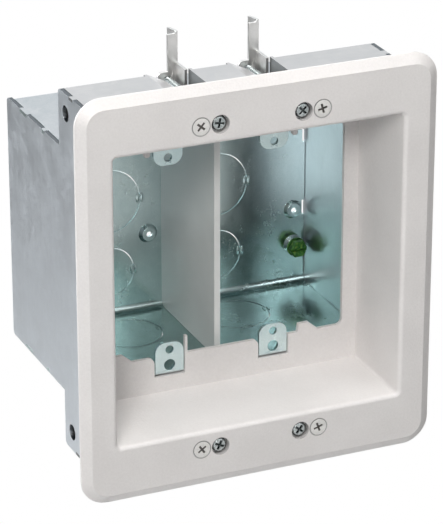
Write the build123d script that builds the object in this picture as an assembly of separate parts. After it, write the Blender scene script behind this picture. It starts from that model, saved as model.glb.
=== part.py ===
from build123d import *
from math import atan2, degrees
import os

# Recessed steel switch box for two devices, with a white trim frame, in millimetres.
# X runs across the wall, +Y goes into the wall and Z is up. The origin is the middle of
# the trim flange's back face, which lies against the wall.

# Trim frame
trim_width = 152.2
trim_height = 169.7
trim_corner_radius = 11.0
flange_thickness = 3.5
bevel_inset = 4.0
bevel_depth = 2.6
recess_from_box_side = 6.1
recess_from_box_end = 15.75
recess_lean = 0.8
recess_wall = 1.8
recess_corner_radius = 1.6
recess_edge_radius = 1.8
lip_thickness = 1.8
lip_opening_width = 108.4
lip_below_shell_top = 7.25
lip_above_shell_bottom = 8.35
lip_corner_radius = 2.5

# Lobes that stand on the lip's edge
lobe_base_width = 9.6
lobe_top_width = 4.5
lobe_steep_run = 0.8
lobe_height = 3.6
right_lobe_x = 33.7
left_lobe_x = -48.8
nub_width = 2.4
nub_height = 2.4
nub_corner_radius = 0.8
nub_x = 32.0
rib_thickness = 1.1
rib_height_over_lip = 7.5

# Steel box
box_width = 134.8
box_depth = 99.0
step_depth = 39.0
front_height = 152.8
rear_height = 105.3
box_sheet = 1.6
inner_bend_radius = 3.2
side_corner_radius = 2.2
seam_gap = 0.25

# Device ears, at the standard spacings of such boxes
gang_spacing = 46.04
ear_width = 12.4
ear_face_depth = 35.75
ear_end_from_middle = 38.45
ear_corner_radius = 4.4
ear_notch_gap = 0.5
device_screw_spacing = 83.34
device_screw_radius = 1.75
plate_screw_spacing = 96.8
plate_screw_radius = 2.4

# Round knock-outs, each held by two short bridges
large_knockout_radius = 14.1
small_knockout_radius = 11.1
knockout_x = 24.5
small_knockout_z = 32.0
wall_knockout_from_back = 23.0
knockout_slit = 0.4
knockout_bridge = 3.0

# Raised screw holes in the back wall
boss_base_radius = 4.2
boss_top_radius = 3.0
boss_height = 1.5
boss_hole_radius = 1.2
boss_x_inner = 7.0
boss_x_outer = 60.0
boss_z = 16.8

# Slots at the back wall's side edges
relief_slot_width = 0.7
relief_slot_height = 6.6
relief_slot_z = 16.6

# Side holes and the tabs that lap over the side plates' edges
side_hole_radius = 3.3
side_hole_depth = 31.15
side_hole_from_end = 8.2
rear_tabs_from_back = (19.0, 41.5)
rear_tab_lengths = (8.0, 3.0)
front_tab_depth = 25.5
front_tab_length = 4.0

# Pocket in the flange's back that the steel box seats in
seat_depth = 0.4
seat_gap = 0.3

# Channel plates
plate_sheet = 1.2
plate_bend_radius = 2.0
channel_width = 9.4
channel_floor_below_screw = 4.1
ramp_width = 8.3
ramp_drop = 4.0

# Screws
screw_below_top = 8.0
wing_screw_x = 17.5
trim_screw_x = 25.5
wing_screw_radius = 2.05
wing_screw_head_radius = 3.1
wing_screw_head_height = 2.0
wing_screw_past_wing = 1.3
head_hole_radius = 3.7
trim_screw_radius = 1.7
trim_screw_head_radius = 3.5
trim_screw_head_height = 1.8
trim_screw_length = 11.0
countersink_gap = 0.35
thread_gap = 0.05
head_gap = 0.05
head_edge = 0.7
cross_length = 4.0
cross_width = 0.9
cross_depth = 1.2

# Ground screw
ground_from_side = 7.1
ground_from_floor = 19.6
ground_stand = 1.6
ground_screw_radius = 2.35
ground_washer_radius = 4.2
ground_washer_height = 0.9
ground_hex_across_flats = 7.0
ground_hex_chamfer = 0.5
ground_hex_height = 3.2
ground_screw_length = 6.0
ground_slot_width = 1.1
ground_slot_depth = 1.0

# Clamping wings
wing_sheet = 1.2
wing_plate_offset = 3.2
wing_step_gap = 0.3
wing_tail_length = 9.7
wing_arm_depth = 8.2
wing_arm_rise = 20.6
wing_arm_slope = 1.1
wing_tail_rise = 7.6
wing_drop = 3.7
lug_reach = 4.3
lug_rise = 3.9
lug_corner_radius = 1.8
clamp_flange_width = 4.3

# Divider
divider_thickness = 2.6
divider_x = 0.3
divider_front = 40.9
divider_gap = 0.1

# Places that follow from the sizes above
box_front = -seat_depth
recess_width = box_width - 2 * recess_from_box_side
recess_height = front_height - 2 * recess_from_box_end
lip_opening_up = rear_height / 2 - lip_below_shell_top
lip_opening_down = rear_height / 2 - lip_above_shell_bottom
wall_knockout_depth = box_depth - wall_knockout_from_back
rear_tab_depths = [box_depth - distance for distance in rear_tabs_from_back]
side_hole_z = front_height / 2 - side_hole_from_end
screw_z = front_height / 2 - screw_below_top
ground_x = box_width / 2 - ground_from_side
ground_z = ground_from_floor - rear_height / 2
inner_half_width = box_width / 2 - box_sheet
lip_back = ear_face_depth + box_sheet - thread_gap
lip_front = lip_back - lip_thickness
back_inner = box_depth - box_sheet
rear_inner_half = rear_height / 2 - box_sheet
sheet_half_width = inner_half_width - seam_gap
wing_tail_front = step_depth + wing_step_gap
wing_arm_front = wing_tail_front + wing_tail_length
wing_screw_tip = wing_arm_front + wing_sheet + wing_screw_past_wing
channel_floor_z = screw_z - channel_floor_below_screw


def at_depth(y):
    """The plane across the box at this depth, with its own x and y along X and Z."""
    return Plane(origin=(0, y, 0), x_dir=(1, 0, 0), z_dir=(0, -1, 0))


def slab(outline, front, back):
    """An outline in X and Z, made solid between two depths."""
    return extrude(at_depth(back) * outline, amount=back - front)


def block(x, y, z):
    """A square-edged block between pairs of limits."""
    middle = [sum(pair) / 2 for pair in (x, y, z)]
    return Pos(*middle) * Box(*[high - low for low, high in (x, y, z)])


def round_bar(x, z, radius, front, back):
    """A cylinder along Y."""
    return slab(Pos(x, z) * Circle(radius), front, back)


def round_taper(x, z, wide_radius, narrow_radius, wide_y, narrow_y):
    """A cone along Y, from its wide end to its narrow end."""
    way = 1 if narrow_y > wide_y else -1
    wide_end = Plane(origin=(x, wide_y, z), x_dir=(1, 0, 0), z_dir=(0, way, 0))
    length = abs(narrow_y - wide_y)
    return wide_end * Pos(0, 0, length / 2) * Cone(wide_radius, narrow_radius, length)


def half_turned(shape):
    """The same shape half a turn round the box's own axis."""
    return Rot(0, 180, 0) * shape


def corners(x, z):
    """The four mirrored places of a point, each with its plain name."""
    return {
        "top_left": (-x, z),
        "top_right": (x, z),
        "bottom_left": (-x, -z),
        "bottom_right": (x, -z),
    }


def ear_centres():
    return (-gang_spacing / 2, gang_spacing / 2)


def lobe(x):
    """A low tooth on the lip's lower edge, steep on its left and sloping on its right."""
    base = -lip_opening_down - lip_corner_radius
    top = -lip_opening_down + lobe_height
    slope_run = lobe_base_width - lobe_steep_run - lobe_top_width
    drop = lip_corner_radius
    return Polygon(
        (x, base),
        (x + lobe_steep_run, top),
        (x + lobe_steep_run + lobe_top_width, top),
        (x + lobe_base_width + slope_run * drop / lobe_height, base),
        align=None,
    )


def lip_opening():
    """The window in the trim's back lip, with a notch round each ear."""
    notch_width = ear_width + 2 * ear_notch_gap
    notch_end = rear_height / 2 + ear_notch_gap
    notch_start = lip_opening_down / 2
    height = lip_opening_up + lip_opening_down
    middle = (lip_opening_up - lip_opening_down) / 2
    outline = Pos(0, middle) * RectangleRounded(lip_opening_width, height, lip_corner_radius)
    for x in ear_centres():
        for side in (-1, 1):
            notch_middle = side * (notch_start + notch_end) / 2
            outline += Pos(x, notch_middle) * Rectangle(notch_width, notch_end - notch_start)
    edge_ends = outline.vertices().group_by(Axis.Y)
    mouths = []
    for x in ear_centres():
        mouths += [vertex for vertex in edge_ends[1] if abs(vertex.X - x + notch_width / 2) < 0.1]
        mouths += [vertex for vertex in edge_ends[-2] if abs(vertex.X - x + notch_width / 2) < 0.1]
    outline = fillet(mouths, lip_corner_radius)
    for x in (left_lobe_x, right_lobe_x):
        outline -= lobe(x)
    nub = RectangleRounded(nub_width, 2 * nub_height, nub_corner_radius)
    for x in (-nub_x, nub_x):
        outline -= Pos(x, lip_opening_up) * nub
    return outline


def recess_form(width, height, back, corner_radius):
    """The recess's own form, whose walls lean inwards from the flange's face to a depth."""
    face = Plane(origin=(0, -flange_thickness, 0), x_dir=(1, 0, 0), z_dir=(0, 1, 0))
    outline = RectangleRounded(width, height, corner_radius)
    lean_angle = degrees(atan2(recess_lean, lip_back + flange_thickness))
    return extrude(face * outline, amount=back + flange_thickness, taper=lean_angle)


def trim_plate():
    """One moulding: bevelled flange, deep recess and a back lip round the devices."""
    bevel_back = bevel_depth - flange_thickness
    rim = RectangleRounded(trim_width, trim_height, trim_corner_radius)
    bevel_angle = degrees(atan2(bevel_inset, bevel_depth))
    body = slab(rim, bevel_back, 0)
    body += extrude(at_depth(bevel_back) * rim, amount=bevel_depth, taper=bevel_angle)
    recess_outside = recess_form(
        recess_width + 2 * recess_wall,
        recess_height + 2 * recess_wall,
        lip_back,
        recess_corner_radius + recess_wall,
    )
    body += recess_outside
    body -= recess_form(recess_width, recess_height, lip_front, recess_corner_radius)
    rim_edges = [
        edge
        for edge in body.edges().filter_by_position(
            Axis.Y, -flange_thickness - 0.01, -flange_thickness + 0.01
        )
        if abs(edge.center().X) < recess_width / 2 + 1
        and abs(edge.center().Z) < recess_height / 2 + 1
    ]
    body = fillet(rim_edges, recess_edge_radius)
    seat = Rectangle(box_width + 2 * seat_gap, front_height + 2 * seat_gap)
    seat -= Rectangle(recess_width + recess_wall, recess_height + recess_wall)
    body -= slab(seat, box_front, 1) - recess_outside
    body -= slab(lip_opening(), lip_front - 1, lip_back + 1)
    rib_x = ear_centres()[0] + ear_width / 2 + ear_notch_gap
    rib_top = -lip_opening_down + rib_height_over_lip
    body += block(
        (rib_x, rib_x + rib_thickness),
        (lip_front, lip_back),
        (-rear_height / 2 - 2 * ear_notch_gap, rib_top),
    )
    for x, z in corners(wing_screw_x, screw_z).values():
        body -= round_bar(x, z, head_hole_radius, -flange_thickness - 1, 1)
    for x, z in corners(trim_screw_x, screw_z).values():
        body -= trim_screw_form(x, z, countersink_gap, thread_gap)
    return body


def trim_screw_form(x, z, head_gap, shank_gap):
    """A flat head set flush in the flange, and its shank."""
    face = -flange_thickness
    head_back = face + trim_screw_head_height
    head_radius = trim_screw_head_radius + head_gap
    shank_radius = trim_screw_radius + shank_gap
    head = round_taper(x, z, head_radius, shank_radius, face, head_back)
    return head + round_bar(x, z, shank_radius, head_back, face + trim_screw_length)


def cross_recess(x, z, face, turn):
    """The cross that a screwdriver fits, as a cutting form."""
    arms = Rectangle(cross_length, cross_width) + Rectangle(cross_width, cross_length)
    return slab(Pos(x, z) * Rot(0, 0, turn) * arms, face - 1, face + cross_depth)


def trim_screw(x, z, turn):
    return trim_screw_form(x, z, 0, 0) - cross_recess(x, z, -flange_thickness, turn)


def wing_screw(x, z, turn):
    """A long screw whose round head sits in a hole in the flange, on the steel behind it."""
    seat = box_front - head_gap
    face = seat - wing_screw_head_height
    head = round_bar(x, z, wing_screw_head_radius, face, seat)
    head = chamfer(head.edges().group_by(Axis.Y)[0], head_edge)
    shank = round_bar(x, z, wing_screw_radius, seat, wing_screw_tip)
    return head + shank - cross_recess(x, z, face, turn)


def ground_screw():
    """A slotted hexagon head with its own washer, screwed into a raised hole."""
    seat = back_inner - boss_height
    washer_back = seat - ground_stand
    hex_back = washer_back - ground_washer_height
    hex_front = hex_back - ground_hex_height
    outline = RegularPolygon(ground_hex_across_flats / 2, 6, major_radius=False)
    screw = slab(Pos(ground_x, ground_z) * outline, hex_front, hex_back)
    screw = chamfer(screw.edges().group_by(Axis.Y)[0], ground_hex_chamfer)
    screw += round_bar(ground_x, ground_z, ground_washer_radius, hex_back, washer_back)
    screw += round_bar(
        ground_x, ground_z, ground_screw_radius, washer_back, seat + ground_screw_length
    )
    slot = block(
        (ground_x - ground_washer_radius, ground_x + ground_washer_radius),
        (hex_front - 1, hex_front + ground_slot_depth),
        (ground_z - ground_slot_width / 2, ground_z + ground_slot_width / 2),
    )
    return screw - slot


def side_plate(side):
    """A flat T-shaped end plate, tall behind the flange and lower at the back."""
    front, rear = front_height / 2, rear_height / 2
    outline = Polygon(
        (box_front, -front),
        (step_depth, -front),
        (step_depth, -rear),
        (box_depth, -rear),
        (box_depth, rear),
        (step_depth, rear),
        (step_depth, front),
        (box_front, front),
        align=None,
    )
    rounded = [
        vertex
        for vertex in outline.vertices()
        if (vertex.X == box_depth or abs(vertex.Y) == front) and vertex.X > 0
    ]
    outline = fillet(rounded, side_corner_radius)
    for y, length in zip(rear_tab_depths, rear_tab_lengths):
        for z in (-rear, rear):
            outline -= Pos(y, z) * Rectangle(length, 2 * box_sheet)
    for z in (-front, front):
        outline -= Pos(front_tab_depth, z) * Rectangle(front_tab_length, 2 * plate_sheet)
        hole_z = side_hole_z if z > 0 else -side_hole_z
        outline -= Pos(side_hole_depth, hole_z) * Circle(side_hole_radius)
    inner = Plane(origin=(inner_half_width, 0, 0), x_dir=(0, 1, 0), z_dir=(1, 0, 0))
    plate = extrude(inner * outline, amount=box_sheet)
    return plate if side > 0 else mirror(plate, Plane.YZ)


def knockout_slit_form(radius):
    """The thin ring cut round a knock-out, left whole at two bridges."""
    ring = Circle(radius) - Circle(radius - knockout_slit)
    return ring - Rectangle(3 * radius, knockout_bridge)


def ear(x):
    """An upper ear with the device screw's hole and the larger plate screw's hole."""
    top = rear_height / 2 - box_sheet
    width, height = ear_width, top - ear_end_from_middle
    outline = Pos(x, ear_end_from_middle + height / 2) * Rectangle(width, height)
    outline = fillet(outline.vertices().group_by(Axis.Y)[0], ear_corner_radius)
    outline -= Pos(x, device_screw_spacing / 2) * Circle(device_screw_radius)
    outline -= Pos(x, plate_screw_spacing / 2) * Circle(plate_screw_radius)
    back = ear_face_depth + box_sheet
    bend = block((x - width / 2, x + width / 2), (ear_face_depth, back), (top, rear_height / 2))
    long_edges = bend.edges().filter_by(Axis.X)
    outer_edge = long_edges.sort_by(lambda edge: edge.center().Z - edge.center().Y)[-1]
    return slab(outline, ear_face_depth, back) + fillet(outer_edge, box_sheet - thread_gap)


def rear_shell():
    """One folded sheet: the rear part's top, back and bottom, and the four ears."""
    half = rear_height / 2
    front_edge = ear_face_depth + box_sheet
    depth = box_depth - front_edge
    middle = (box_depth + front_edge) / 2
    outside = Pos(middle, 0) * Rectangle(depth, rear_height)
    outside = fillet(outside.vertices().group_by(Axis.X)[-1], inner_bend_radius + box_sheet)
    inside_depth = depth - box_sheet
    inside = Pos(front_edge + inside_depth / 2, 0) * Rectangle(inside_depth, 2 * rear_inner_half)
    inside = fillet(inside.vertices().group_by(Axis.X)[-1], inner_bend_radius)
    across = Plane(origin=(-sheet_half_width, 0, 0), x_dir=(0, 1, 0), z_dir=(1, 0, 0))
    shell = extrude(across * (outside - inside), amount=2 * sheet_half_width)
    for x in ear_centres():
        shell += ear(x)
        shell += mirror(ear(x), Plane.XY)
    for y, length in zip(rear_tab_depths, rear_tab_lengths):
        tab = block(
            (-box_width / 2, box_width / 2), (y - length / 2, y + length / 2), (rear_inner_half, half)
        )
        shell += tab
        shell += mirror(tab, Plane.XY)
    slits = []
    for x in (-knockout_x, knockout_x):
        slits.append((x, 0, large_knockout_radius))
        slits.append((x, small_knockout_z, small_knockout_radius))
        slits.append((x, -small_knockout_z, small_knockout_radius))
    for x, z, radius in slits:
        shell -= slab(Pos(x, z) * knockout_slit_form(radius), back_inner - 1, box_depth + 1)
    for x in (-knockout_x, knockout_x):
        ring = Pos(x, wall_knockout_depth, -half - 1) * knockout_slit_form(large_knockout_radius)
        shell -= extrude(ring, amount=rear_height + 2, dir=(0, 0, 1))
    for turn in (-1, 1):
        shell = raised_hole(shell, turn * boss_x_inner, turn * boss_z, boss_hole_radius)
        shell = raised_hole(shell, -turn * boss_x_outer, turn * boss_z, boss_hole_radius)
    shell = raised_hole(shell, ground_x, ground_z, ground_screw_radius + thread_gap)
    slot_x = inner_half_width - relief_slot_width
    for x, z in corners(slot_x, relief_slot_z).values():
        slot = Pos(x, z) * Rectangle(2 * relief_slot_width, relief_slot_height)
        shell -= slab(slot, back_inner - 1, box_depth + 1)
    return shell


def raised_hole(shell, x, z, hole_radius):
    """Pushes the back wall forward into a low cone with a screw hole through it."""
    top = back_inner - boss_height
    shell += round_taper(x, z, boss_base_radius, boss_top_radius, back_inner, top)
    shell -= round_taper(x, z, boss_top_radius, hole_radius, box_depth, back_inner)
    return shell - round_bar(x, z, hole_radius, top - 1, box_depth + 1)


def channel_profile(screw_x):
    """The open space of one wing channel: a ramp on its left and a straight right wall."""
    left = screw_x - channel_width / 2
    right = screw_x + channel_width / 2
    top = front_height / 2
    over = top + 2 * plate_sheet
    return Polygon(
        (left - ramp_width, over),
        (left - ramp_width, top),
        (left, top - ramp_drop),
        (left, channel_floor_z),
        (right, channel_floor_z),
        (right, over),
        align=None,
    )


def channel_plate():
    """The folded upper plate: front flange, top with two wing channels, and ledge."""
    top = front_height / 2
    width = 2 * sheet_half_width
    skin = block((-width / 2, width / 2), (box_front, step_depth), (top - plate_sheet, top))
    ledge = block(
        (-width / 2, width / 2), (step_depth - plate_sheet, step_depth), (rear_height / 2, top)
    )
    plate = skin + ledge
    long_edges = plate.edges().filter_by(Axis.X)
    bend_edge = long_edges.sort_by(lambda edge: edge.center().Y + edge.center().Z)[-1]
    plate = fillet(bend_edge, plate_bend_radius)
    limit = block((-width, width), (box_front, step_depth), (0, top))
    for x in (-wing_screw_x, wing_screw_x):
        liner = offset(channel_profile(x), plate_sheet, kind=Kind.INTERSECTION)
        plate += slab(liner, box_front, step_depth) & limit
    for x in (-wing_screw_x, wing_screw_x):
        plate -= slab(channel_profile(x), -1, step_depth + 1)
    tab = block(
        (-box_width / 2, box_width / 2),
        (front_tab_depth - front_tab_length / 2, front_tab_depth + front_tab_length / 2),
        (top - plate_sheet, top),
    )
    for x in (-wing_screw_x, wing_screw_x):
        tab -= slab(channel_profile(x), -1, step_depth + 1)
    plate += tab
    flange_low = channel_floor_z - plate_sheet
    flange_back = box_front + plate_sheet
    plate += block((-width / 2, width / 2), (box_front, flange_back), (flange_low, top))
    for x in (-wing_screw_x, wing_screw_x):
        plate -= round_bar(x, screw_z, wing_screw_radius + thread_gap, -1, 2 * plate_sheet)
    for x in (-trim_screw_x, trim_screw_x):
        plate -= round_bar(x, screw_z, trim_screw_radius + thread_gap, -1, 2 * plate_sheet)
    return plate


def wing(screw_x):
    """An upper clamping wing, folded from sheet: a lug on its screw, a strip above and a plate."""
    left = screw_x + wing_plate_offset
    right = left + wing_sheet
    low = screw_z - wing_drop
    top = screw_z + wing_arm_rise
    arm_back = wing_arm_front + wing_arm_depth
    outline = Polygon(
        (wing_tail_front, low),
        (arm_back, low),
        (arm_back, top - wing_arm_slope),
        (wing_arm_front, top),
        (wing_arm_front, screw_z + wing_tail_rise),
        (wing_tail_front, screw_z + wing_tail_rise),
        align=None,
    )
    across = Plane(origin=(left, 0, 0), x_dir=(0, 1, 0), z_dir=(1, 0, 0))
    body = extrude(across * outline, amount=wing_sheet)
    lug_width, lug_height = right - screw_x + lug_reach, wing_drop + lug_rise
    lug = Pos(right - lug_width / 2, low + lug_height / 2) * Rectangle(lug_width, lug_height)
    lug = fillet(lug.vertices().group_by(Axis.X)[0], lug_corner_radius)
    strip_height = top - wing_sheet - low
    strip = Pos(right - clamp_flange_width / 2, low + strip_height / 2)
    face = lug + strip * Rectangle(clamp_flange_width, strip_height)
    face -= Pos(screw_x, screw_z) * Circle(wing_screw_radius + thread_gap)
    return body + slab(face, wing_arm_front, wing_arm_front + wing_sheet)


def divider():
    """The white partition between the two device spaces."""
    half_height = rear_inner_half - divider_gap
    plate = block(
        (divider_x - divider_thickness / 2, divider_x + divider_thickness / 2),
        (divider_front, back_inner - divider_gap),
        (-half_height, half_height),
    )
    rear_edges = plate.edges().filter_by(Axis.X).group_by(Axis.Y)[-1]
    return fillet(rear_edges, inner_bend_radius)


os.makedirs("parts", exist_ok=True)

pieces = {
    "trim_plate": trim_plate(),
    "rear_shell": rear_shell(),
    "top_channel_plate": channel_plate(),
    "bottom_channel_plate": half_turned(channel_plate()),
    "left_side_plate": side_plate(-1),
    "right_side_plate": side_plate(1),
    "divider": divider(),
    "ground_screw": ground_screw(),
}
screw_turns = {"top_left": 50, "top_right": 15, "bottom_left": 35, "bottom_right": 20}
for place, (x, z) in corners(trim_screw_x, screw_z).items():
    pieces[f"trim_screw_{place}"] = trim_screw(x, z, screw_turns[place])
for place, (x, z) in corners(wing_screw_x, screw_z).items():
    pieces[f"wing_screw_{place}"] = wing_screw(x, z, screw_turns[place] + 30)
    pieces[f"wing_{place}"] = wing(x) if z > 0 else half_turned(wing(-x))

for name, shape in pieces.items():
    export_step(shape, f"parts/{name}.step")
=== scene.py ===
import math

import bmesh
import bpy
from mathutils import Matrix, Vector


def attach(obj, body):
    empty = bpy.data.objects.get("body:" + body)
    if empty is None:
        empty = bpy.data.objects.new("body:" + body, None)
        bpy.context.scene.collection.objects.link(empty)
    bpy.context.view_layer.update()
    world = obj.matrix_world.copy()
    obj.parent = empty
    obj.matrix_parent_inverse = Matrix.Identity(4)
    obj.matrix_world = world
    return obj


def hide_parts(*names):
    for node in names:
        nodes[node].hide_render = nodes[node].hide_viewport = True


# A recessed steel switch box with a white trim frame. Metres, in the frame of the CAD model:
# +Y goes into the wall, +Z is up, and the trim flange's back lies at Y = 0.

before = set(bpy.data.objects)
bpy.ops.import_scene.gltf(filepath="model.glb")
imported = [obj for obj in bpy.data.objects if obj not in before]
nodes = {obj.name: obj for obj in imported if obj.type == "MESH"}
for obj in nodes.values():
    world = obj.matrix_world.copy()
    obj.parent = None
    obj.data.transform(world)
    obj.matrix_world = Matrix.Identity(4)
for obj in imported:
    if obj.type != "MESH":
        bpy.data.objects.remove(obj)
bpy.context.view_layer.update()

MM = 0.001
PLACES = ("top_left", "top_right", "bottom_left", "bottom_right")

# Camera, fitted to the photograph's edges
IMAGE_LONG_SIDE = 524
FOCAL_PIXELS = 3000
SENSOR = 36
CAMERA_AZIMUTH = math.radians(-23.551)
CAMERA_ELEVATION = math.radians(23.205)
CAMERA_DISTANCE = 1.2212
CAMERA_TARGET = Vector((0.003992, 0.045, -0.011384))


class Shader:
    """A material under construction, with short calls for the nodes that it needs."""

    def __init__(self, name, **inputs):
        self.material = bpy.data.materials.new(name)
        self.material.use_nodes = True
        self.tree = self.material.node_tree
        self.surface = self.tree.nodes["Principled BSDF"]
        for key, value in inputs.items():
            self.surface.inputs[key.capitalize()].default_value = value

    def node(self, kind, **settings):
        made = self.tree.nodes.new("ShaderNode" + kind)
        for key, value in settings.items():
            setattr(made, key, value)
        return made

    def link(self, source, target):
        self.tree.links.new(source, target)

    def feed(self, made, inputs):
        for key, value in inputs.items():
            if isinstance(value, bpy.types.NodeSocket):
                self.link(value, made.inputs[key])
            else:
                made.inputs[key].default_value = value

    def place(self, stretch=(1, 1, 1)):
        """The point in metres, stretched so that a pattern can run along one axis."""
        coordinates = self.node("TexCoord")
        mapping = self.node("Mapping")
        mapping.inputs["Scale"].default_value = stretch
        self.link(coordinates.outputs["Object"], mapping.inputs["Vector"])
        return mapping.outputs["Vector"]

    def noise(self, size, detail=3.0, stretch=(1, 1, 1)):
        made = self.node("TexNoise")
        self.feed(made, {"Vector": self.place(stretch), "Scale": 1 / size, "Detail": detail})
        return made.outputs["Fac"]

    def cells(self, size):
        made = self.node("TexVoronoi")
        self.feed(made, {"Vector": self.place(), "Scale": 1 / size})
        return made.outputs["Color"]

    def ramp(self, value, *stops):
        made = self.node("ValToRGB")
        elements = made.color_ramp.elements
        while len(elements) < len(stops):
            elements.new(0.5)
        for element, (position, colour) in zip(elements, stops):
            element.position = position
            element.color = (*colour, 1)
        self.link(value, made.inputs["Fac"])
        return made.outputs["Color"]

    def spread(self, value, low, high, source_low=0.0, source_high=1.0):
        made = self.node("MapRange")
        self.feed(made, {"Value": value, "From Min": source_low, "From Max": source_high,
                         "To Min": low, "To Max": high})
        return made.outputs["Result"]

    def along(self, axis, source="Object"):
        """The point's place along one axis in metres, or with "Normal" how far the surface faces there."""
        coordinates = self.node("TexCoord")
        axes = self.node("SeparateXYZ")
        self.link(coordinates.outputs[source], axes.inputs[0])
        return axes.outputs[axis]

    def outward(self, axis):
        """Positive where the surface faces away from the middle of the part along one axis, in metres."""
        return self.math("MULTIPLY", self.along(axis), self.along(axis, "Normal"))

    def near(self, x, z, radius):
        """1 within a radius of a line that runs straight into the wall."""
        coordinates = self.node("TexCoord")
        mapping = self.node("Mapping")
        mapping.inputs["Location"].default_value = (-x, 0, -z)
        mapping.inputs["Scale"].default_value = (1, 0, 1)
        self.link(coordinates.outputs["Object"], mapping.inputs["Vector"])
        length = self.node("VectorMath", operation="LENGTH")
        self.link(mapping.outputs["Vector"], length.inputs[0])
        return self.spread(length.outputs["Value"], 1.0, 0.0, radius, radius * 1.1)

    def math(self, operation, first, second):
        made = self.node("Math", operation=operation)
        self.feed(made, {0: first, 1: second})
        return made.outputs["Value"]

    def mix(self, factor, first, second, blend_type="MIX"):
        made = self.node("Mix", data_type="RGBA", blend_type=blend_type)
        self.feed(made, {0: factor, 6: first, 7: second})
        return made.outputs[2]

    def bump(self, height, distance, strength=1.0, normal=None):
        made = self.node("Bump")
        self.feed(made, {"Height": height, "Distance": distance, "Strength": strength})
        if normal is not None:
            self.link(normal, made.inputs["Normal"])
        return made.outputs["Normal"]

    def colour(self, value):
        self.link(value, self.surface.inputs["Base Color"])

    def roughness(self, value):
        self.link(value, self.surface.inputs["Roughness"])

    def normal(self, value):
        self.link(value, self.surface.inputs["Normal"])


def middle(node):
    """The X and Z in the middle of a node."""
    corners = [node.matrix_world @ vertex.co for vertex in node.data.vertices]
    middles = []
    for axis in (0, 2):
        values = [point[axis] for point in corners]
        middles.append((min(values) + max(values)) / 2)
    return middles


# Radii and tone of the painted shade in the gaps round the trim screws and the wing screws.
RING_RADII = {"trim_screw": 3.72 * MM, "wing_screw": 3.6 * MM}
RING_SHADE = (0.45, 0.45, 0.45, 1)


def trim_plastic():
    """White moulded plastic with a fine leathery texture, and rings of painted shade round its screws."""
    shader = Shader("trim_plastic", roughness=0.42)
    patches = shader.noise(30 * MM)
    pebbles = shader.noise(0.9 * MM, detail=2.0)
    tone = shader.math("ADD", shader.math("MULTIPLY", patches, 0.6), shader.math("MULTIPLY", pebbles, 0.4))
    colour = shader.ramp(tone, (0.35, (0.805, 0.78, 0.77)), (0.65, (0.875, 0.85, 0.84)))
    for place in PLACES:
        for kind, radius in RING_RADII.items():
            x, z = middle(nodes[f"{kind}_{place}"])
            # Painted shade round each screw.
            colour = shader.mix(shader.near(x, z, radius), colour, RING_SHADE, "MULTIPLY")
    shader.colour(colour)
    waves = shader.noise(3.5 * MM, detail=2.0)
    fine = shader.bump(pebbles, 0.1 * MM, 0.9)
    shader.normal(shader.bump(waves, 0.1 * MM, 0.6, fine))
    shader.roughness(shader.spread(pebbles, 0.36, 0.52, 0.3, 0.7))
    return shader.material


def divider_plastic():
    """Smooth white plastic of the partition."""
    shader = Shader("divider_plastic", roughness=0.28)
    patches = shader.noise(25 * MM)
    shader.colour(shader.ramp(patches, (0.3, (0.85, 0.87, 0.86)), (0.7, (0.89, 0.905, 0.895))))
    shader.normal(shader.bump(shader.noise(6 * MM, detail=1.0), 0.03 * MM, 0.4))
    return shader.material


def outer_face(shader):
    """1 on the outside of the box's back, top and bottom, and 0 inside."""
    outward = shader.math("MAXIMUM", shader.outward("Z"), shader.outward("Y"))
    return shader.spread(outward, 0.0, 1.0, 20 * MM, 45 * MM)


def shell_shade_and_tint(shader):
    """Darker on the box's floor, which stands in for the photo's shade, and less blue outside."""
    low = shader.spread(shader.along("Z"), 1.0, 0.0, -45 * MM, -30 * MM)
    upward = shader.spread(shader.along("Z", "Normal"), 0.0, 1.0, 0.3, 0.9)
    outside = outer_face(shader)
    return ((shader.math("MULTIPLY", low, upward), (0.52, 0.62, 0.60)), (outside, (0.92, 0.80, 0.82)))


def side_painted_shade(shader):
    """Darker inside towards the floor and on the top and bottom edges: painted shade, and painted shadow
    in the seams.
    """
    inside = shader.spread(shader.outward("X"), 1.0, 0.0, -40 * MM, -20 * MM)
    low = shader.spread(shader.along("Z"), 1.0, 0.0, -40 * MM, 5 * MM)
    # Painted shadow of the seam gaps on the top and bottom edges.
    edge = shader.spread(shader.math("ABSOLUTE", shader.along("Z", "Normal"), 0.0), 0.0, 1.0, 0.5, 0.8)
    return (shader.math("MULTIPLY", inside, low), (0.5, 0.52, 0.52)), (edge, (0.16, 0.17, 0.18))


def channel_painted_shade(shader):
    """A darker tint on the channels' upright walls, which stands in for the photo's shade there."""
    across = shader.spread(shader.math("ABSOLUTE", shader.along("X", "Normal"), 0.0), 0.0, 1.0, 0.5, 0.9)
    return ((across, (0.36, 0.38, 0.38)),)


FLAKE_SHARE = 0.15
CLOUD_SHARE = 0.35


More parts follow.
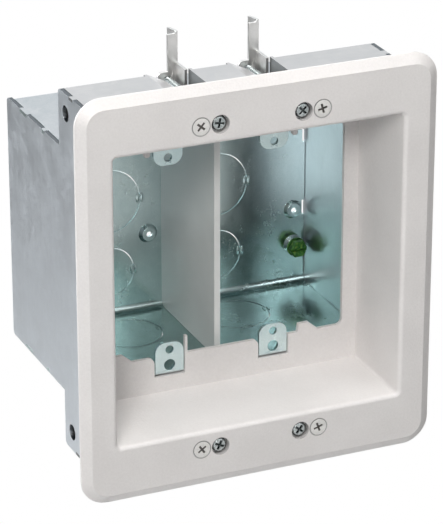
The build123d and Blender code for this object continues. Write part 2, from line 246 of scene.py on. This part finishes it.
def galvanised(name, dark, light, rough, streaks, tints_and_shade=None, grain_share=0.25, dulling=0.0):
    """Zinc-coated sheet: faint flakes, fine grain and long rolling streaks along one axis."""
    shader = Shader(name, metallic=1.0, roughness=rough)
    flakes = shader.spread(shader.cells(3.0 * MM), 0.0, 1.0)
    grain = shader.noise(0.7 * MM, detail=4.0)
    clouds = shader.noise(14 * MM, detail=3.0)
    rolling = shader.noise(1.6 * MM, detail=3.0, stretch=streaks)
    tone = shader.math("MULTIPLY", flakes, FLAKE_SHARE)
    rolling_share = 1 - FLAKE_SHARE - CLOUD_SHARE - grain_share
    for share, pattern in ((grain_share, grain), (CLOUD_SHARE, clouds), (rolling_share, rolling)):
        tone = shader.math("ADD", tone, shader.math("MULTIPLY", pattern, share))
    colour = shader.ramp(tone, (0.3, dark), (0.7, light))
    # Multiplies in the given tints; most of them are painted shade.
    for place, tint in tints_and_shade(shader) if tints_and_shade else ():
        colour = shader.mix(place, colour, (*tint, 1), "MULTIPLY")
    shader.colour(colour)
    gloss = shader.spread(tone, rough - 0.05, rough + 0.06, 0.35, 0.65)
    shader.roughness(shader.math("ADD", gloss, shader.math("MULTIPLY", outer_face(shader), dulling)))
    grains = shader.bump(grain, 0.012 * MM, 0.5)
    lines = shader.bump(rolling, 0.012 * MM, 0.5, grains)
    shader.normal(shader.bump(clouds, 0.12 * MM, 0.35, lines))
    return shader.material


def zinc_screw():
    """Bright grey zinc plating, with painted shade in the cross and a darker tint along the shank."""
    shader = Shader("zinc_screw", metallic=1.0, roughness=0.27)
    grain = shader.noise(0.5 * MM, detail=3.0)
    plating = shader.ramp(grain, (0.3, (0.46, 0.49, 0.49)), (0.7, (0.72, 0.75, 0.75)))
    # Painted shade down in the cross of the head.
    in_head = shader.math("LESS_THAN", shader.along("Y"), -0.4 * MM)
    below_face = shader.spread(shader.along("Y"), 0.0, 1.0, -2.35 * MM, -1.9 * MM)
    painted_shade_share = shader.math("MULTIPLY", in_head, below_face)
    shank = shader.spread(shader.along("Y"), 0.0, 1.0, -0.4 * MM, 0.4 * MM)
    plating = shader.mix(shank, plating, (0.5, 0.52, 0.52, 1), "MULTIPLY")
    shader.colour(shader.mix(shader.math("MULTIPLY", painted_shade_share, 0.9), plating, (0.05, 0.06, 0.06, 1)))
    shader.roughness(shader.spread(grain, 0.2, 0.36, 0.3, 0.7))
    return shader.material


def white_screw():
    """White painted steel, with painted shade in the cross and at the head's rim."""
    shader = Shader("white_screw", roughness=0.34)
    grain = shader.noise(0.8 * MM)
    paint = shader.ramp(grain, (0.35, (0.80, 0.79, 0.77)), (0.65, (0.87, 0.86, 0.84)))
    # Painted shade in the cross and round the head's rim.
    painted_shade_share = shader.spread(shader.along("Y"), 0.0, 0.93, -3.48 * MM, -3.1 * MM)
    shader.colour(shader.mix(painted_shade_share, paint, (0.10, 0.09, 0.08, 1)))
    shader.normal(shader.bump(grain, 0.02 * MM, 0.4))
    return shader.material


def green_screw():
    """Green dyed zinc, yellower where it is worn."""
    shader = Shader("green_screw", metallic=0.5, roughness=0.36)
    grain = shader.noise(1.6 * MM, detail=4.0)
    shader.colour(shader.ramp(grain, (0.38, (0.02, 0.09, 0.02)), (0.58, (0.08, 0.24, 0.04)),
                              (0.75, (0.38, 0.50, 0.12))))
    shader.roughness(shader.spread(grain, 0.3, 0.46, 0.3, 0.7))
    return shader.material


def dress_nodes():
    """Gives every carried-over node its material, smooth curved faces and fine edges."""
    shell = galvanised("galvanised_steel", (0.55, 0.67, 0.68), (0.74, 0.85, 0.85), 0.23, (1, 1, 0.05),
                       grain_share=0.35, dulling=0.18, tints_and_shade=shell_shade_and_tint)
    plate = galvanised("galvanised_plate", (0.66, 0.70, 0.74), (0.76, 0.80, 0.84), 0.34, (1, 1, 0.05),
                       tints_and_shade=side_painted_shade)
    channel = galvanised("galvanised_channel", (0.59, 0.58, 0.585), (0.69, 0.67, 0.67), 0.42, (0.05, 1, 1),
                         tints_and_shade=channel_painted_shade)
    wings = galvanised("wing_steel", (0.66, 0.65, 0.64), (0.76, 0.745, 0.73), 0.36, (1, 1, 0.05))
    trim = trim_plastic()
    materials = {
        "trim_plate": trim,
        "rear_shell": shell,
        "top_channel_plate": channel,
        "bottom_channel_plate": channel,
        "left_side_plate": plate,
        "right_side_plate": plate,
        "divider": divider_plastic(),
        "ground_screw": green_screw(),
    }
    white = white_screw()
    zinc = zinc_screw()
    for place in PLACES:
        materials[f"trim_screw_{place}"] = white
        materials[f"wing_screw_{place}"] = zinc
        materials[f"wing_{place}"] = wings
    for name, node in nodes.items():
        node.data.materials.clear()
        node.data.materials.append(materials[name])
        soften(node)
    return materials


EDGE_SIZES = {"trim_plate": 0.35, "divider": 0.3}
STEEL_EDGE = 0.12


def soften(node):
    """Joins the node's faces at their seams and rounds its sharp edges a little."""
    node.data.polygons.foreach_set("use_smooth", [True] * len(node.data.polygons))
    weld = node.modifiers.new("weld", "WELD")
    weld.merge_threshold = 0.002 * MM
    bevel = node.modifiers.new("edges", "BEVEL")
    bevel.width = EDGE_SIZES.get(node.name, STEEL_EDGE) * MM
    bevel.segments = 2
    bevel.limit_method = "ANGLE"
    bevel.angle_limit = math.radians(20)
    bevel.use_clamp_overlap = True
    shading = node.modifiers.new("shading", "WEIGHTED_NORMAL")
    shading.weight = 100
    shading.keep_sharp = False


SHANK_START = -0.6 * MM
CREST_RADIUS = 2.05 * MM
ROOT_RADIUS = 1.65 * MM
THREAD_PITCH = 1.4 * MM
ROUND_STEPS = 24
TURN_ROWS = 7


def finish_piece(name, shape, material, body):
    """Puts a bmesh into the scene as a smooth piece that moves with a CAD body."""
    bmesh.ops.recalc_face_normals(shape, faces=shape.faces)
    mesh = bpy.data.meshes.new(name)
    shape.to_mesh(mesh)
    shape.free()
    mesh.materials.append(material)
    mesh.polygons.foreach_set("use_smooth", [True] * len(mesh.polygons))
    piece = bpy.data.objects.new(name, mesh)
    bpy.context.scene.collection.objects.link(piece)
    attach(piece, body)
    return piece


def threaded_shank(x, z, end):
    """A screw's shank from inside its head to its tip, with a thread that dies out at both ends."""
    shape = bmesh.new()
    rows = round((end - SHANK_START) / THREAD_PITCH * TURN_ROWS)
    rings = []
    for row in range(rows + 1):
        y = SHANK_START + (end - SHANK_START) * row / rows
        fade = min(1, row / TURN_ROWS, (rows - row) / TURN_ROWS)
        ring = []
        for step in range(ROUND_STEPS):
            angle = 2 * math.pi * step / ROUND_STEPS
            phase = (y / THREAD_PITCH - step / ROUND_STEPS) % 1
            crest = max(0, 1 - abs(2 * phase - 1) * 1.25)
            radius = CREST_RADIUS - (CREST_RADIUS - ROOT_RADIUS) * (1 - crest) * fade
            ring.append(shape.verts.new((x + radius * math.cos(angle), y, z + radius * math.sin(angle))))
        rings.append(ring)
    for near, far in zip(rings, rings[1:]):
        for step in range(ROUND_STEPS):
            after = (step + 1) % ROUND_STEPS
            shape.faces.new((near[step], near[after], far[after], far[step]))
    shape.faces.new(rings[0])
    shape.faces.new(rings[-1])
    return shape


def wing_screw(place, material):
    """The CAD screw's own head, and a shank with a real thread in place of the plain one."""
    node = nodes[f"wing_screw_{place}"]
    x, z = middle(node)
    end = max((node.matrix_world @ vertex.co).y for vertex in node.data.vertices)
    head = bmesh.new()
    head.from_mesh(node.data)
    head.transform(node.matrix_world)
    plain_shank = []
    for face in head.faces:
        if max(vertex.co.y for vertex in face.verts) > end - 0.1 * MM:
            plain_shank.append(face)
    bmesh.ops.delete(head, geom=plain_shank, context="FACES")
    head_piece = finish_piece(f"screw_head_{place}", head, material, f"{place}_screw")
    soften(head_piece)
    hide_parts(f"wing_screw_{place}")
    thread = threaded_shank(x, z, end)
    finish_piece(f"screw_thread_{place}", thread, material, f"{place}_screw")


TAB_WIDTH = 1.7 * MM
TAB_HEIGHT = 4.6 * MM
TAB_RISE = 0.45 * MM
BACK_INSIDE = 97.4 * MM
WALL_INSIDE = 51.05 * MM
WALL_RING_DEPTH = 76 * MM
LARGE_RING = 13.9 * MM
SMALL_RING = 10.9 * MM


def punched_tabs(material):
    """The pairs of small domes punched beside each bridge that holds a knock-out."""
    rings = []
    for x in (-24.5 * MM, 24.5 * MM):
        for z, radius in ((0, LARGE_RING), (32 * MM, SMALL_RING), (-32 * MM, SMALL_RING)):
            rings.append((Vector((x, BACK_INSIDE, z)), radius, Vector((0, -1, 0)), Vector((0, 0, 1))))
        for side in (-1, 1):
            middle = Vector((x, WALL_RING_DEPTH, side * WALL_INSIDE))
            rings.append((middle, LARGE_RING, Vector((0, 0, -side)), Vector((0, 1, 0))))
    shape = bmesh.new()
    across = Vector((1, 0, 0))
    for middle, radius, out, along in rings:
        for side in (-1, 1):
            for half in (-0.55, 0.55):
                centre = middle + across * (side * radius + half * TAB_WIDTH)
                dome(shape, centre, across * TAB_WIDTH / 2, along * TAB_HEIGHT / 2, out * TAB_RISE)
    finish_piece("punched_tabs", shape, material, "box")


def dome(shape, centre, wide, tall, rise):
    """A shallow oval dome, closed by a flat back just inside the sheet."""
    steps, levels = 16, 5
    rings = []
    for level in range(levels):
        lean = math.pi / 2 * level / levels
        ring = []
        for step in range(steps):
            angle = 2 * math.pi * step / steps
            flat = wide * math.cos(angle) + tall * math.sin(angle)
            ring.append(shape.verts.new(centre + flat * math.cos(lean) + rise * (math.sin(lean) - 0.1)))
        rings.append(ring)
    top = shape.verts.new(centre + rise * 0.9)
    for low, high in zip(rings, rings[1:]):
        for step in range(steps):
            after = (step + 1) % steps
            shape.faces.new((low[step], low[after], high[after], high[step]))
    for step in range(steps):
        shape.faces.new((rings[-1][step], rings[-1][(step + 1) % steps], top))
    shape.faces.new(rings[0])


def lamp(name, direction, distance, size, power, colour, mirrored_only=False):
    """A soft square light that looks at the middle of the box from some direction."""
    light = bpy.data.lights.new(name, "AREA")
    light.shape = "SQUARE"
    light.size = size
    light.energy = power
    light.color = colour
    way = Vector(direction).normalized()
    holder = bpy.data.objects.new(name, light)
    holder.location = Vector((0, 0.04, 0)) + way * distance
    holder.rotation_euler = (-way).to_track_quat("-Z", "Y").to_euler()
    holder.visible_diffuse = not mirrored_only
    bpy.context.scene.collection.objects.link(holder)


def lamps():
    """Soft light from above and the left, and cards that only mirrored rays see."""
    lamp("key_light", (-0.474, -0.703, 0.528), 1.5, 0.38, 8.9, (1.0, 0.985, 0.965))
    lamp("top_light", (0, -0.25, 1), 1.3, 0.9, 15.5, (1.0, 0.99, 0.975))
    lamp("rear_left_light", (-1, 0.8, 0.5), 1.3, 1.1, 13.5, (0.97, 0.985, 1.0))
    lamp("left_light", (-1, -0.1, 0.15), 1.3, 0.9, 2.4, (0.97, 0.985, 1.0))
    lamp("right_card", (0.37, -0.84, 0.39), 1.2, 0.8, 3.4, (0.93, 1.0, 1.0), True)
    lamp("low_left_card", (-0.37, -0.84, -0.39), 1.2, 0.8, 2.2, (0.93, 1.0, 1.0), True)
    lamp("low_right_card", (0.37, -0.84, -0.39), 1.2, 0.8, 0.6, (0.93, 1.0, 1.0), True)


FLOOR_HALF = 3.0
FLOOR_LEVEL = -0.6


def pale_floor():
    """A plain floor that keeps shadows and that the camera sees as white."""
    floor_mesh = bpy.data.meshes.new("floor")
    corners = []
    for x, y in ((-1, -1), (1, -1), (1, 1), (-1, 1)):
        corners.append((x * FLOOR_HALF, y * FLOOR_HALF, FLOOR_LEVEL))
    floor_mesh.from_pydata(corners, [], [(0, 1, 2, 3)])
    floor = bpy.data.objects.new("floor", floor_mesh)
    bpy.context.scene.collection.objects.link(floor)
    paint = Shader("floor_paint", roughness=0.8)
    paint.surface.inputs["Base Color"].default_value = (0.86, 0.86, 0.86, 1)
    white = paint.node("Emission")
    white.inputs["Color"].default_value = (1, 1, 1, 1)
    seen = paint.node("LightPath")
    choice = paint.node("MixShader")
    output = paint.tree.nodes["Material Output"]
    paint.link(seen.outputs["Is Camera Ray"], choice.inputs[0])
    paint.link(paint.surface.outputs[0], choice.inputs[1])
    paint.link(white.outputs[0], choice.inputs[2])
    paint.link(choice.outputs[0], output.inputs["Surface"])
    floor.data.materials.append(paint.material)


AMBIENT = ("ambient", (0.94, 0.97, 1.0), 0.06)
MIRRORED = ("mirrored", (0.93, 0.98, 1.0), 0.3)
BACKDROP = ("backdrop", (1, 1, 1), 1.0)
MIRRORED_GAIN_BEHIND = 0.85


def surroundings():
    """A faint even light, a pale room for mirrored rays that is brighter behind, and a white backdrop."""
    world = bpy.data.worlds.new("studio")
    bpy.context.scene.world = world
    world.use_nodes = True
    tree = world.node_tree
    tree.nodes.clear()
    path = tree.nodes.new("ShaderNodeLightPath")
    grounds = {}
    for kind, colour, strength in (AMBIENT, MIRRORED, BACKDROP):
        grounds[kind] = tree.nodes.new("ShaderNodeBackground")
        grounds[kind].inputs["Color"].default_value = (*colour, 1)
        grounds[kind].inputs["Strength"].default_value = strength
    coordinates = tree.nodes.new("ShaderNodeTexCoord")
    axes = tree.nodes.new("ShaderNodeSeparateXYZ")
    rear_side = tree.nodes.new("ShaderNodeMath")
    rear_side.operation = "MAXIMUM"
    rear_side.inputs[1].default_value = 0
    brighter_behind = tree.nodes.new("ShaderNodeMath")
    brighter_behind.operation = "MULTIPLY_ADD"
    brighter_behind.inputs[1].default_value = MIRRORED_GAIN_BEHIND
    brighter_behind.inputs[2].default_value = MIRRORED[2]
    tree.links.new(coordinates.outputs["Generated"], axes.inputs[0])
    tree.links.new(axes.outputs["Y"], rear_side.inputs[0])
    tree.links.new(rear_side.outputs[0], brighter_behind.inputs[0])
    tree.links.new(brighter_behind.outputs[0], grounds["mirrored"].inputs["Strength"])
    first = tree.nodes.new("ShaderNodeMixShader")
    second = tree.nodes.new("ShaderNodeMixShader")
    output = tree.nodes.new("ShaderNodeOutputWorld")
    tree.links.new(path.outputs["Is Glossy Ray"], first.inputs[0])
    tree.links.new(grounds["ambient"].outputs[0], first.inputs[1])
    tree.links.new(grounds["mirrored"].outputs[0], first.inputs[2])
    tree.links.new(path.outputs["Is Camera Ray"], second.inputs[0])
    tree.links.new(first.outputs[0], second.inputs[1])
    tree.links.new(grounds["backdrop"].outputs[0], second.inputs[2])
    tree.links.new(second.outputs[0], output.inputs["Surface"])


def camera():
    """Looks down at the front from the left, through a long lens."""
    data = bpy.data.cameras.new("camera")
    data.sensor_width = SENSOR
    data.lens = FOCAL_PIXELS * SENSOR / IMAGE_LONG_SIDE
    data.clip_end = 20
    forward = Vector((
        -math.sin(CAMERA_AZIMUTH) * math.cos(CAMERA_ELEVATION),
        math.cos(CAMERA_AZIMUTH) * math.cos(CAMERA_ELEVATION),
        -math.sin(CAMERA_ELEVATION),
    ))
    holder = bpy.data.objects.new("camera", data)
    holder.location = CAMERA_TARGET - forward * CAMERA_DISTANCE
    holder.rotation_euler = forward.to_track_quat("-Z", "Y").to_euler()
    bpy.context.scene.collection.objects.link(holder)
    bpy.context.scene.camera = holder


materials = dress_nodes()
for place in PLACES:
    wing_screw(place, materials[f"wing_screw_{place}"])
punched_tabs(materials["rear_shell"])
lamps()
pale_floor()
surroundings()
camera()
bpy.context.scene.view_settings.view_transform = "Standard"
